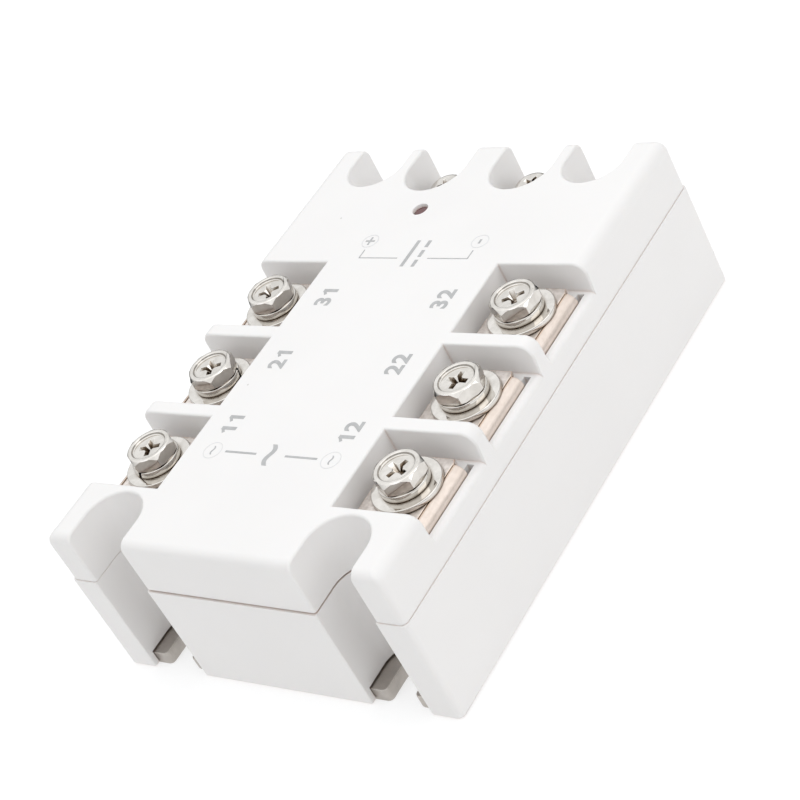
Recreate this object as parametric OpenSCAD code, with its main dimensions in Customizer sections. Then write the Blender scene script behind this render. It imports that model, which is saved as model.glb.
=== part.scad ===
// Three-phase solid state relay, panel type, with six screw terminals for the load
// and two for the control input.
// Frame: origin at the middle of the heat-sink face, +X across the package, +Y along it
// towards the input terminals, +Z up, out of the heat sink.

/* [Package] */
// Width across the package, side wall to side wall
package_w = 74; // [73:0.5:78]
// Length along the package, end wall to end wall
package_l = 105; // [104:0.5:110]
// Height of the housing's top face above the heat-sink face
housing_h = 33; // [32.5:0.5:36]
// Height of the joint between the lower and the upper shell
parting_z = 22.2; // [21.9:0.1:22.4]
// How far the lower shell stands proud of the upper one
shell_step = 0.25; // [0.1:0.05:0.4]
// Open gap at the joint
shell_gap = 0.3; // [0.1:0.05:0.4]
// Wall of both shells
wall = 1.8; // [1.5:0.1:2]
// Radius of the upper shell's top edges
top_r = 2; // [1:0.25:2.5]

/* [Base plate] */
// Thickness of the metal base plate
plate_t = 2.8; // [2:0.1:3]
// Inset of the plate from the housing's outer faces
plate_inset = 1.3; // [1:0.1:1.5]
// Gap under the housing's skirt, so that only the plate meets the heat sink
skirt_gap = 0.3; // [0.1:0.1:0.5]

/* [Mounting slots] */
// Spacing of the mounting screws across the package
mount_pitch_x = 49.6; // [48:0.2:50]
// Spacing of the mounting screws along the package
mount_pitch_y = 93; // [92:0.5:94]
// Width of the slot in the housing, which takes a screw head and washer
mount_slot_w = 12.2; // [11:0.2:12.2]
// Width of the slot in the base plate, which takes the screw
plate_slot_w = 5.8; // [5:0.1:6.5]

/* [Load terminals] */
// Spacing from one phase to the next
phase_pitch = 20.2; // [20:0.1:20.4]
// Width of a terminal pocket along the package
pocket_w = 17.2; // [17:0.1:17.4]
// Height of the pocket's floor and of the rail outside it
rail_z = 26.9; // [26.5:0.1:27]
// Distance of the load screws from the centre plane
load_screw_x = 27.5; // [27:0.1:28]
// Thickness of a load terminal's copper strip
strip_t = 1.2; // [1:0.1:1.2]
// Diameter of the load screw's thread
load_thread_d = 5; // [4.8:0.1:5]
// Outer diameter of the load flat washer
washer_d = 12.2; // [10:0.2:12.4]

/* [Input terminals] */
// Distance of the input screws from the centre plane
input_screw_x = 9.8; // [9.6:0.1:10]
// Width of the input notches
notch_w = 13; // [12:0.5:13]
// Depth of the input notches from the end wall
notch_depth = 13.4; // [13:0.1:13.5]
// Height of the input notch's floor
notch_z = 24.4; // [24:0.1:24.4]
// Diameter of the input screw's thread
input_thread_d = 4; // [3.5:0.1:4]

/* [Indicator] */
// Diameter of the indicator's hole in the top face
led_hole_d = 3.6; // [3.2:0.1:4]
// Place of the indicator across the package
led_x = -6.4; // [-7:0.1:-6]
// Place of the indicator along the package
led_y = 33.4; // [33:0.1:34]

/* [Hidden] */
$fn = 48;
eps = 0.01;
far = 100;

half_w = package_w / 2;
half_l = package_l / 2;
lower_top = parting_z - shell_gap / 2;
upper_bottom = parting_z + shell_gap / 2;
upper_half_w = half_w - shell_step;
upper_half_l = half_l - shell_step;
corner_r = 0.8;
ceiling_z = housing_h - 2.2;

phase_y = [-30.3, -30.3 + phase_pitch, -30.3 + 2 * phase_pitch];
pocket_x = 19.3;
pocket_end = phase_y[2] + pocket_w / 2;
floor_t = 2;

mount_x = mount_pitch_x / 2;
mount_y = mount_pitch_y / 2;
cavity_y = mount_y - mount_slot_w / 2 - 2.1;
cavity_x = half_w - wall;
spine_x = mount_x - mount_slot_w / 2 - wall;
spine_y = half_l - wall - 0.2;

// Load terminal stack, from the nut up
pad_z = 27.7;
strip_z = pad_z + strip_t;
flat_washer_t = 1;
spring_washer_t = 1.3;
load_head_z = strip_z + flat_washer_t + spring_washer_t;
load_head_h = 2.6;
load_head_af = 8;
load_shank = 12;
load_nut_t = 4;
load_nut_af = 8;
strip_out = half_w - shell_step - 1.8;
strip_in = 20.4;
strip_half_w = 7;
leg_half_w = 5.8;
foot_z = plate_t + 1.1;
foot_in = 25.5;

// Input terminal stack, from the nut up
input_y = half_l - notch_depth + notch_w / 2 - 0.1;
input_strip_t = 1;
clamp_t = 1.2;
input_head_z = notch_z + input_strip_t + clamp_t;
input_head_h = 2.4;
input_head_d = 7;
input_shank = 8;
input_nut_t = 3.2;
input_nut_af = 7;

// Radial clearance of a thread's plain shank in its nut
run_gap = 0.05;

// Control board
board_z = 22.8;
board_t = 1.6;
board_top = board_z + board_t;
board_half_w = 16.6;
gate_pin_x = 15.2;
gate_pin_y = 5.1;

// Power stage
substrate_t = 0.8;
copper_t = 0.3;
pad_top = plate_t + substrate_t + copper_t;
chip_t = 0.4;
chip_x = 12.3;
chip_y = 3.3;

// Housing screws
join_screw_y = [-half_l + 4.9, mount_y];
join_screw_r = 1.5;

LOADS = [1 : 6];
INPUTS = [1 : 2];

// Colours
white_plastic = "#F1F1EF";
plated_base = "#A79F95";
nickel = "#C9C3B8";
tinned_copper = "#B9A493";

// ---------- shared shapes ----------

// A box from its low corner to its high corner
module box(low, high) {
    translate(low) cube([high.x - low.x, high.y - low.y, high.z - low.z]);
}

// A box centred on X and Y, from z0 to z1
module slab(size_x, size_y, z0, z1) {
    translate([-size_x / 2, -size_y / 2, z0]) cube([size_x, size_y, z1 - z0]);
}

// A rectangle with round corners, centred
module round_rect(w, l, r) {
    square([w - 2 * r, l], center = true);
    square([w, l - 2 * r], center = true);
    for (x = [-1, 1], y = [-1, 1])
        translate([x * (w / 2 - r), y * (l / 2 - r)]) circle(r);
}

// A profile with its base on the axis and its two top corners round
module dome_profile(w, h, r) {
    translate([-w / 2, 0]) square([w, h - r]);
    translate([-w / 2 + r, 0]) square([w - 2 * r, h]);
    for (x = [-1, 1]) translate([x * (w / 2 - r), h - r]) circle(r);
}

// An open slot: round at the origin, running out along +Y
module u_slot(w, run) {
    circle(w / 2);
    translate([-w / 2, 0]) square([w, run]);
}

// The four corners of the mounting pattern, with each slot's open end outwards
module at_mounts() {
    for (x = [-1, 1], y = [0, 1])
        mirror([0, 1 - y, 0]) translate([x * mount_x, mount_y, 0]) children();
}

// The three phases
module at_phases() {
    for (y = phase_y) translate([0, y, 0]) children();
}

module both_sides() {
    children();
    mirror([1, 0, 0]) children();
}

// Load terminal n: odd numbers on the left, even ones on the right, in phase order
module at_load(n) {
    phase = floor((n - 1) / 2);
    translate([0, phase_y[phase], 0])
        mirror([n % 2, 0, 0]) children();
}

// Input terminal n: 1 on the left, 2 on the right
module at_input(n) {
    mirror([n % 2, 0, 0]) translate([input_screw_x, input_y, 0]) children();
}

// A hexagonal prism given by its size across the flats
module hex(af, z0, z1) {
    translate([0, 0, z0]) rotate(30) cylinder(r = af / sqrt(3), h = z1 - z0, $fn = 6);
}

// A ring from z0 to z1
module ring(r_out, r_in, z0, z1) {
    translate([0, 0, z0]) difference() {
        cylinder(r = r_out, h = z1 - z0);
        translate([0, 0, -1]) cylinder(r = r_in, h = z1 - z0 + 2);
    }
}

// Crossed recess of a screw head, cut down from z
module cross_recess(span, width, depth, z) {
    for (a = [0, 90]) rotate(a) slab(span, width, z - depth, z + 1);
}

// ---------- base and housing ----------

module base_plate() {
    color(plated_base) difference() {
        linear_extrude(plate_t)
            round_rect(package_w - 2 * plate_inset, package_l - 2 * plate_inset, 1.2);
        at_mounts() translate([0, 0, -1]) linear_extrude(plate_t + 2)
            u_slot(plate_slot_w, far);
        for (y = join_screw_y) translate([0, y, 0]) {
            translate([0, 0, -1]) cylinder(r = join_screw_r + 0.2, h = plate_t + 2);
            translate([0, 0, -eps]) cylinder(r1 = 3.1, r2 = join_screw_r + 0.2, h = 1.5);
        }
    }
}

// Inside of a shell between heights z0 and z1: the hall between the mounting slots,
// and a narrower spine that runs on between them
module hall(half_x, y0, y1, z0, z1) {
    box([-half_x, y0, z0], [half_x, y1, z1]);
}

module lower_housing() {
    color(white_plastic) difference() {
        union() {
            difference() {
                translate([0, 0, skirt_gap]) linear_extrude(lower_top - skirt_gap)
                    round_rect(package_w, package_l, corner_r);
                hall(cavity_x, -cavity_y, cavity_y, -1, far);
                hall(spine_x, -spine_y, spine_y, -1, far);
                // rebate that takes the base plate
                linear_extrude(2 * (plate_t + 0.3), center = true)
                    round_rect(package_w - 2 * plate_inset + 0.2,
                               package_l - 2 * plate_inset + 0.2, 1.2);
            }
            // bosses for the housing screws, each tied to its end wall
            for (y = join_screw_y) {
                translate([0, y, plate_t]) cylinder(r = 3, h = lower_top - plate_t);
                wall_y = y < 0 ? -spine_y - 0.5 : spine_y + 0.5;
                box([-1, min(y, wall_y), plate_t + 0.3], [1, max(y, wall_y), lower_top]);
            }
            tongues(0.8, lower_top - 2, lower_top + 1.5);
        }
        for (y = join_screw_y) translate([0, y, 0])
            cylinder(r = join_screw_r + 0.2, h = far);
        at_mounts() linear_extrude(2 * far, center = true) u_slot(mount_slot_w, far);
    }
}

// Locating tongues that stand up from the lower shell into the upper one
module tongues(t, z0, z1) {
    both_sides() box([cavity_x, 23, z0], [cavity_x + t, 36, z1]);
    box([-14, -spine_y - t, z0], [14, -spine_y, z1]);
}

module upper_housing() {
    color(white_plastic) difference() {
        union() {
            difference() {
                upper_block();
                upper_hollow();
            }
            pocket_bosses();
            input_bosses();
            // posts that hold the control board down
            for (p = [[14.2, phase_y[0]], [-14.2, phase_y[0]], [31, 34], [-31, 34]])
                translate([p.x, p.y, board_top]) cylinder(r = 1.8, h = ceiling_z + 1 - board_top);
            // boss of the front housing screw
            translate([0, join_screw_y[0], upper_bottom])
                cylinder(r = 3, h = ceiling_z + 1 - upper_bottom);
        }
        pockets();
        input_notches();
        at_mounts() linear_extrude(2 * far, center = true) u_slot(mount_slot_w, far);
        translate([led_x, led_y, ceiling_z - 1]) cylinder(d = led_hole_d, h = far);
        tongues(0.9, upper_bottom - 1, upper_bottom + 1.7);
        for (y = join_screw_y) translate([0, y, 0])
            cylinder(r = join_screw_r + run_gap, h = 26);
    }
}

// Outer form of the upper shell, its top edges round along both directions
module upper_block() {
    intersection() {
        translate([0, 0, upper_bottom]) linear_extrude(far)
            round_rect(2 * upper_half_w, 2 * upper_half_l, corner_r);
        rotate([90, 0, 0]) linear_extrude(2 * far, center = true)
            dome_profile(2 * upper_half_w, housing_h, top_r);
        rotate([90, 0, 90]) linear_extrude(2 * far, center = true)
            dome_profile(2 * upper_half_l, housing_h, top_r);
    }
}

// Everything inside the upper shell: the centre spine, the space under the pockets'
// floors and the hall at the input end
module upper_hollow() {
    low = upper_bottom - 1;
    hall(pocket_x - 2, -cavity_y, pocket_end + 2.2, low, ceiling_z);
    hall(spine_x, -spine_y, -cavity_y + 1, low, ceiling_z);
    hall(strip_out + 0.1, -cavity_y, pocket_end + 1, low, rail_z - floor_t);
    hall(upper_half_w - wall, pocket_end + 2.2, 37.3, low, ceiling_z);
}

// Boss under each pocket's floor, which holds the nut
module pocket_bosses() {
    bottom = load_head_z - load_shank - 1.6;
    both_sides() at_phases() {
        box([load_screw_x - 5.9, -5.9, bottom], [load_screw_x + 5.9, 5.9, rail_z]);
        // pad that the terminal strip lies on
        box([strip_in, -6.6, rail_z - 1], [strip_out - strip_t - 0.15, 6.6, pad_z]);
    }
}

// Pockets open to the side and the top, with the strip's slot and the nut's recess
module pockets() {
    both_sides() at_phases() {
        difference() {
            box([pocket_x, -pocket_w / 2, rail_z], [far, pocket_w / 2, far]);
            box([strip_in, -6.6, rail_z - 1], [strip_out - strip_t - 0.15, 6.6, pad_z]);
        }
        box([strip_out - strip_t - 0.1, -7.8, 10], [strip_out + 0.1, 7.8, rail_z + 1]);
        translate([load_screw_x, 0, 0]) {
            hex(load_nut_af + 0.2, pad_z - load_nut_t, pad_z + 1);
            translate([0, 0, load_head_z - load_shank - 0.7])
                cylinder(r = load_thread_d / 2 + 0.3, h = 12);
        }
    }
    // round outer edge of the rail
    rail_r = 1;
    both_sides() at_phases() difference() {
        box([upper_half_w - rail_r, -pocket_w / 2, rail_z - rail_r],
            [upper_half_w + 1, pocket_w / 2, rail_z + 1]);
        translate([upper_half_w - rail_r, 0, rail_z - rail_r]) rotate([90, 0, 0])
            cylinder(r = rail_r, h = pocket_w + 2, center = true);
    }
}

// Boss under each input notch, which holds the nut
module input_bosses() {
    bottom = input_head_z - input_shank - 1.2;
    for (n = INPUTS) at_input(n)
        box([-5, -5, bottom], [5, spine_y - input_y - 0.1, upper_bottom + 1]);
}

module input_notches() {
    for (n = INPUTS) at_input(n) {
        translate([0, 0, notch_z]) linear_extrude(far) u_slot(notch_w, far);
        // slit that the strip runs through to the board
        box([-3.1, -far / 4, notch_z - 0.05], [3.1, 0, notch_z + input_strip_t + 0.05]);
        hex(input_nut_af + 0.2, notch_z - input_nut_t, notch_z + 1);
        translate([0, 0, input_head_z - input_shank - 0.6])
            cylinder(r = input_thread_d / 2 + 0.3, h = 10);
    }
}

// Two long screws, driven from below through both shells
module housing_screws() {
    color(nickel) for (y = join_screw_y) translate([0, y, 0]) difference() {
        union() {
            translate([0, 0, 0.1]) cylinder(r1 = 2.9, r2 = join_screw_r, h = 1.4);
            translate([0, 0, 0.1]) cylinder(r = join_screw_r, h = 25);
        }
        cross_recess(2.8, 0.6, 1, 1.1);
    }
}

// ---------- load terminals ----------

// Copper strip: a flat seat, a bend over the rail's inner edge, a leg and a foot
module power_terminal(n) {
    color(tinned_copper) at_load(n) difference() {
        intersection() {
            rotate([90, 0, 0]) linear_extrude(2 * strip_half_w, center = true)
                strip_profile();
            union() {
                strip_outline();
                box([foot_in - 1, -3.5, 0], [far, 3.5, foot_z + strip_t]);
                box([strip_out - strip_t - 0.5, -leg_half_w, foot_z + strip_t - eps],
                    [far, leg_half_w, far]);
            }
        }
        translate([load_screw_x, 0, 0]) cylinder(r = load_thread_d / 2 + 0.25, h = far);
    }
}

// Side view of the strip
module strip_profile() {
    translate([strip_in, pad_z]) square([strip_out - strip_t - strip_in, strip_t]);
    translate([strip_out - strip_t, pad_z]) intersection() {
        circle(strip_t);
        square(strip_t);
    }
    translate([strip_out - strip_t, foot_z]) square([strip_t, pad_z - foot_z]);
    translate([foot_in, foot_z]) square([strip_out - foot_in, strip_t]);
}

// Plan of the strip's flat seat, with its two outer corners cut back
module strip_outline() {
    translate([0, 0, pad_z - 1]) linear_extrude(far) polygon([
        [strip_in, -strip_half_w], [31.7, -strip_half_w], [33.3, -leg_half_w],
        [far, -leg_half_w], [far, leg_half_w],
        [33.3, leg_half_w], [31.7, strip_half_w], [strip_in, strip_half_w]]);
}

module power_nuts() {
    color(nickel) both_sides() at_phases() translate([load_screw_x, 0, 0]) difference() {
        hex(load_nut_af, pad_z - load_nut_t, pad_z);
        cylinder(r = load_thread_d / 2 + run_gap, h = far);
    }
}

module power_flat_washer(n) {
    color(nickel) at_load(n) translate([load_screw_x, 0, 0])
        ring(washer_d / 2, load_thread_d / 2 + 0.25, strip_z, strip_z + flat_washer_t);
}

// Split lock washer, cut through at one place
module power_spring_washer(n) {
    z0 = strip_z + flat_washer_t;
    color(nickel) at_load(n) translate([load_screw_x, 0, 0]) difference() {
        ring(4.45, load_thread_d / 2 + 0.2, z0, z0 + spring_washer_t);
        rotate(-50) rotate([20, 0, 0]) box([2, -0.3, z0 - 4], [6, 0.3, z0 + 20]);
    }
}

// Screw with a hexagonal head, indented on top, and a cross recess
module power_screw(n) {
    top = load_head_z + load_head_h;
    rim = load_head_af / 2 + 0.1;
    color(nickel) at_load(n) translate([load_screw_x, 0, 0]) difference() {
        union() {
            intersection() {
                hex(load_head_af, load_head_z, top);
                // chamfer that turns the hexagon into a round rim
                translate([0, 0, load_head_z - 1])
                    cylinder(r1 = rim + load_head_h + 1, r2 = rim, h = load_head_h + 1);
            }
            translate([0, 0, load_head_z - load_shank])
                cylinder(r = load_thread_d / 2, h = load_shank + 0.5);
        }
        translate([0, 0, top - 0.45]) cylinder(r = 3.3, h = 1);
        cross_recess(4.4, 0.9, 1.9, top);
    }
}

// ---------- input terminals ----------

module input_terminal(n) {
    color(tinned_copper) at_input(n) difference() {
        union() {
            box([-3, 36 - input_y, notch_z], [3, 0, notch_z + input_strip_t]);
            box([-4.4, -4.6, notch_z], [4.4, 4.4, notch_z + input_strip_t]);
        }
        cylinder(r = input_thread_d / 2 + 0.25, h = far);
    }
}

module input_nuts() {
    color(nickel) for (n = INPUTS) at_input(n) difference() {
        hex(input_nut_af, notch_z - input_nut_t, notch_z);
        cylinder(r = input_thread_d / 2 + run_gap, h = far);
    }
}

// Square clamp washer with its two side edges turned down
module input_clamp(n) {
    z0 = notch_z + input_strip_t;
    color(nickel) at_input(n) difference() {
        slab(7.6, 7.6, z0, z0 + clamp_t);
        slab(5.6, 9, z0 - 1, z0 + 0.3);
        cylinder(r = input_thread_d / 2 + 0.2, h = far);
    }
}

module input_screw(n) {
    top = input_head_z + input_head_h;
    color(nickel) at_input(n) difference() {
        union() {
            translate([0, 0, input_head_z]) cylinder(d = input_head_d, h = 1.4);
            translate([0, 0, input_head_z + 1.4])
                cylinder(d1 = input_head_d, d2 = input_head_d - 2.2, h = input_head_h - 1.4);
            translate([0, 0, input_head_z - input_shank])
                cylinder(d = input_thread_d, h = input_shank + 0.5);
        }
        cross_recess(3.8, 0.8, 1.6, top);
    }
}

// ---------- control board ----------

module control_board() {
    color("#2E6B3E") difference() {
        union() {
            box([-board_half_w, -36, board_z], [board_half_w, 22, board_top]);
            box([-34.3, 21.4, board_z], [34.3, 36.9, board_top]);
        }
        gate_holes(0.5);
    }
}

module gate_holes(r) {
    at_phases() for (s = [-1, 1])
        translate([s * gate_pin_x, -s * gate_pin_y, 0]) cylinder(r = r, h = far, $fn = 16);
}

// Round indicator lamp on two leads, its dome just under the top face
module led_indicator() {
    lens_z = 26.8;
    tip = housing_h - 0.9;
    color("#8C1F1F") translate([led_x, led_y, 0]) {
        translate([0, 0, lens_z]) cylinder(r = 1.75, h = 0.8);
        translate([0, 0, lens_z]) cylinder(r = 1.5, h = tip - 1.5 - lens_z);
        translate([0, 0, tip - 1.5]) sphere(r = 1.5);
        for (x = [-1.27, 1.27] / 2)
            translate([x, 0, board_top]) cylinder(r = 0.25, h = 3, $fn = 16);
    }
}

module optocouplers() {
    color("#222222") at_phases() {
        slab(6.4, 8.6, board_top + 0.5, board_top + 4);
        for (x = [-3.9, 3.9], y = [-2.54, 0, 2.54])
            translate([x, y, 0]) slab(1.6, 0.5, board_top, board_top + 2.4);
    }
}

module board_resistors() {
    r = 1.2;
    color("#C8A97A") both_sides() at_phases() translate([9.6, 0, 0]) {
        translate([0, 0, board_top + r]) rotate([90, 0, 0])
            cylinder(r = r, h = 6.3, center = true);
        translate([0, 0, board_top + r]) rotate([90, 0, 0])
            cylinder(r = 0.3, h = 9.4, center = true, $fn = 16);
        for (y = [-4.7, 4.7]) translate([0, y, board_top]) {
            cylinder(r = 0.3, h = r, $fn = 16);
            translate([0, 0, r]) sphere(r = 0.3, $fn = 16);
        }
    }
}

module board_capacitors() {
    color("#2B3A66") for (x = [15, 22]) translate([x, 27, board_top]) {
        cylinder(r = 2.5, h = 5.4);
        cylinder(r = 2.65, h = 0.5);
    }
}

module board_transistors() {
    color("#262626") for (x = [-22, -15]) translate([x, 27, board_top]) {
        translate([0, 0, 1.2]) intersection() {
            cylinder(r = 2.3, h = 4.4);
            translate([-3, -2.3, 0]) cube([6, 3.6, 5]);
        }
        for (dx = [-1.27, 0, 1.27]) translate([dx, 0, 0]) slab(0.45, 0.45, 0, 1.3);
    }
}

// ---------- power stage ----------

module ceramic_substrates() {
    color("#E9E6DC") at_phases() slab(62, 15.6, plate_t, plate_t + substrate_t);
}

// Two copper fields on each ceramic, one for each load terminal
module copper_tracks() {
    color("#B8763E") both_sides() at_phases()
        box([3, -7, plate_t + substrate_t], [30, 7, pad_top]);
}

// The two chips of each phase, back to back
module at_chips() {
    at_phases() for (a = [0, 180]) rotate(a) translate([chip_x, -chip_y, 0]) children();
}

module thyristor_chips() {
    color("#5B6470") at_chips() slab(7, 6, pad_top, pad_top + chip_t);
}

// Copper clip from the top of one chip over to the other copper field
module chip_clips() {
    seat = pad_top + chip_t;
    color("#B8763E") at_chips() {
        box([-2.5, -2, seat], [1.9, 2, seat + 0.6]);
        box([-18.5, -2, seat + 0.6], [1.9, 2, seat + 1.2]);
        box([-18.5, -2, pad_top], [-16.5, 2, seat + 1.2]);
    }
}

module gate_pins() {
    color(nickel) at_phases() for (s = [-1, 1])
        translate([s * gate_pin_x, -s * gate_pin_y, pad_top + chip_t])
            cylinder(r = 0.4, h = 21.6, $fn = 16);
}

// Soft potting over the power stage
module potting() {
    color("#D9D6CE") difference() {
        box([-33.3, -cavity_y + 0.2, plate_t], [33.3, cavity_y - 0.2, 12]);
        at_phases() slab(62.4, 16, plate_t - 1, pad_top + 2);
        both_sides() at_phases()
            box([foot_in, -3.8, plate_t], [far, 3.8, foot_z + strip_t + 0.3]);
        gate_holes(0.5);
    }
}

// ---------- nodes ----------

base_plate();
lower_housing();
upper_housing();
housing_screws();
for (n = LOADS) {
    power_terminal(n);
    power_flat_washer(n);
    power_spring_washer(n);
    power_screw(n);
}
power_nuts();
for (n = INPUTS) {
    input_terminal(n);
    input_clamp(n);
    input_screw(n);
}
input_nuts();
control_board();
led_indicator();
optocouplers();
board_resistors();
board_capacitors();
board_transistors();
ceramic_substrates();
copper_tracks();
thyristor_chips();
chip_clips();
gate_pins();
potting();
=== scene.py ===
# %% [markdown]
# # A three-phase solid state relay
# The real object is a white plastic block on a metal base plate. Two shells make the
# block, six screws take the load wires in pockets along its sides, and two smaller
# screws take the control wires in notches at one end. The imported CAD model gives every
# place and every moving body; this script adds the soft edges, the true screw heads
# and the finishes. It could be modelled from nothing, but starting on the frame keeps
# all sizes right and lets the screws turn.

# %% Load the frame
import math

import bmesh
import bpy
from mathutils import Matrix, Vector


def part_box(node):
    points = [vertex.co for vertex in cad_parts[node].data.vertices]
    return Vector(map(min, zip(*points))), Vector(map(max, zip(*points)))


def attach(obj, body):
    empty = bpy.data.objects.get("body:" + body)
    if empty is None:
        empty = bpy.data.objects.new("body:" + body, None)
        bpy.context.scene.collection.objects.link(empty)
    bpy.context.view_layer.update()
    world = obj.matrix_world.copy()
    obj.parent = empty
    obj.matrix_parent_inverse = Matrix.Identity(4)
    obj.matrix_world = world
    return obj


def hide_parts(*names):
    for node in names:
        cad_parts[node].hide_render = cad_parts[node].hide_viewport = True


MM = 0.001
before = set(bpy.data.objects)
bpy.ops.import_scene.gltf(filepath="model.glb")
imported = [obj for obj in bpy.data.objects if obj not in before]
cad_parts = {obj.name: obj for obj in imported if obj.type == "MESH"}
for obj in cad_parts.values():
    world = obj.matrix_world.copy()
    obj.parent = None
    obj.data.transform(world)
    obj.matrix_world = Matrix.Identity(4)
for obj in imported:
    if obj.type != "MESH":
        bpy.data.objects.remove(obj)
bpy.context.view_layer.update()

# %% [markdown]
# ## Working in millimetres
# The operators merge and bevel by absolute lengths, and they behave best on pieces that
# are tens of units across. So each piece is modelled with one unit as one millimetre,
# and `settle` shrinks it to metres at the end, when it gets its finish and its body.


# %% Helpers for placing things
def node_box(name):
    """Low and high corner of a CAD node, in millimetres."""
    low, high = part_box(name)
    return low / MM, high / MM


def centre_of(name):
    """Middle of a CAD node, in millimetres."""
    low, high = node_box(name)
    return (low + high) / 2


def only(piece):
    """Selects one piece and nothing else."""
    bpy.ops.object.select_all(action="DESELECT")
    piece.select_set(True)
    bpy.context.view_layer.objects.active = piece


def begin(name, add, **how):
    """Adds a primitive under a name, with its place in its mesh."""
    bpy.ops.object.select_all(action="DESELECT")
    add(**how)
    piece = bpy.context.object
    piece.name = piece.data.name = name
    bpy.ops.object.transform_apply(location=True, rotation=True, scale=True)
    return piece


def block(name, low, high):
    """A cube stretched from its low corner to its high one."""
    low, high = Vector(low), Vector(high)
    return begin(name, bpy.ops.mesh.primitive_cube_add, size=1,
                 location=(low + high) / 2, scale=high - low)


def bar(name, radius, z0, z1, at=(0, 0), sides=64, turn=0):
    """An upright cylinder, or a prism when it has few sides."""
    return begin(name, bpy.ops.mesh.primitive_cylinder_add, vertices=sides,
                 radius=radius, depth=z1 - z0, location=(at[0], at[1], (z0 + z1) / 2),
                 rotation=(0, 0, turn))


# %% [markdown]
# ## Shaping by selection
# By hand one would click faces and edges; in code they are chosen by their place or
# their normal. Every edge of a moulding or a stamping is a little round, so bevels and
# Boolean cuts do most of the work. The exact solver joined some turned heads instead of
# cutting them, and the manifold one doesn't.

# %% Helpers for shaping
def pick(piece, kind, wanted):
    """Opens a piece in edit mode with its wanted VERT, EDGE or FACE parts selected."""
    only(piece)
    bpy.ops.object.mode_set(mode="EDIT")
    bpy.ops.mesh.select_mode(type=kind)
    bpy.ops.mesh.select_all(action="DESELECT")
    mesh = bmesh.from_edit_mesh(piece.data)
    parts = {"VERT": mesh.verts, "EDGE": mesh.edges, "FACE": mesh.faces}[kind]
    found = [part for part in parts if wanted(part)]
    for part in found:
        part.select_set(True)
    bmesh.update_edit_mesh(piece.data)
    return len(found)


def done():
    bpy.ops.object.mode_set(mode="OBJECT")


def rotate(angle, axis="Z", about=(0, 0, 0)):
    """Turns the selection anticlockwise; the operator itself counts clockwise."""
    bpy.ops.transform.rotate(value=-angle, orient_axis=axis, center_override=about)


def middle(edge):
    return (edge.verts[0].co + edge.verts[1].co) / 2


def soften(piece, width, wanted=lambda p: True, segments=3, sharp=30):
    """Rounds the sharp outer edges whose middle passes the test."""
    def outer(edge):
        return (edge.is_manifold and edge.is_convex
                and edge.calc_face_angle() > math.radians(sharp) and wanted(middle(edge)))
    count = pick(piece, "EDGE", outer)
    if count:
        bpy.ops.mesh.bevel(offset=width, segments=segments, affect="EDGES",
                           clamp_overlap=False)
    done()
    return count


def joined(piece, other):
    """Puts another piece's mesh into this one, without merging the two solids."""
    only(piece)
    other.select_set(True)
    bpy.ops.object.join()
    return piece


def combine(piece, how, *tools):
    """Joins, cuts or crosses a piece with tools, which are used up."""
    for tool in tools:
        only(piece)
        step = piece.modifiers.new("combine", "BOOLEAN")
        step.operation = how
        step.object = tool
        step.solver = "MANIFOLD"
        bpy.ops.object.modifier_apply(modifier=step.name)
        bpy.data.objects.remove(tool)
    return piece


def cut(piece, *tools):
    return combine(piece, "DIFFERENCE", *tools)


def add(piece, *tools):
    return combine(piece, "UNION", *tools)


# %% [markdown]
# ## Copies, and the last step of every piece
# What repeats is modelled once and copied, each copy with a mesh of its own. Last of
# all, `settle` smooths a piece's shading while flat faces stay flat, puts the piece on
# its body and hides the CAD nodes that it stands for.

# %% Helpers for copies and for handing over
def copy(piece, name, move=(0, 0, 0), turn=0.0):
    """A copy with its own mesh, turned about Z and then moved."""
    only(piece)
    bpy.ops.object.duplicate()
    twin = bpy.context.object
    twin.name = twin.data.name = name
    bpy.ops.object.mode_set(mode="EDIT")
    bpy.ops.mesh.select_all(action="SELECT")
    rotate(turn)
    bpy.ops.transform.translate(value=move)
    done()
    return twin


def mirrored(piece, name):
    """A copy with its own mesh on the other side of the plane X = 0."""
    twin = copy(piece, name)
    bpy.ops.object.mode_set(mode="EDIT")
    bpy.ops.mesh.select_all(action="SELECT")
    bpy.ops.transform.resize(value=(-1, 1, 1), center_override=(0, 0, 0))
    bpy.ops.mesh.normals_make_consistent(inside=False)
    done()
    return twin


def settle(piece, material, body="root", stands_for=()):
    """Shrinks a piece to metres and gives it its finish and its body."""
    only(piece)
    bpy.ops.object.mode_set(mode="EDIT")
    bpy.ops.mesh.select_all(action="SELECT")
    bpy.ops.transform.resize(value=(MM, MM, MM), center_override=(0, 0, 0))
    done()
    bpy.ops.object.shade_smooth_by_angle(angle=math.radians(35))
    even = piece.modifiers.new("even", "WEIGHTED_NORMAL")
    even.keep_sharp = True
    bpy.ops.object.modifier_apply(modifier="even")
    piece.data.materials.clear()
    piece.data.materials.append(material)
    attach(piece, body)
    if stands_for:
        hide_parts(*stands_for)
    size = [round(v / MM, 1) for v in piece.dimensions]
    print(f"{piece.name}: {len(piece.data.polygons)} faces, {size} mm, on {body}")


# %% [markdown]
# ## Effects that several finishes share
# Moulded plastic has a faint grain and a few stray specks; plated metal has fine
# scratches and rubbed edges, which also get a painted highlight; narrow places get
# painted shade. Painting them as pictures would tie them to one piece. Node groups on
# Object coordinates work on every piece at real scale.


# %% A helper that builds node groups
def new_group(name, inputs, outputs):
    """An empty node group with number sockets; returns it with its two end nodes."""
    group = bpy.data.node_groups.new(name, "ShaderNodeTree")
    for socket, value in inputs.items():
        made = group.interface.new_socket(socket, in_out="INPUT",
                                          socket_type="NodeSocketFloat")
        made.default_value = value
    for socket in outputs:
        group.interface.new_socket(socket, in_out="OUTPUT",
                                   socket_type="NodeSocketFloat")
    return group, group.nodes.new("NodeGroupInput"), group.nodes.new("NodeGroupOutput")


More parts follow.
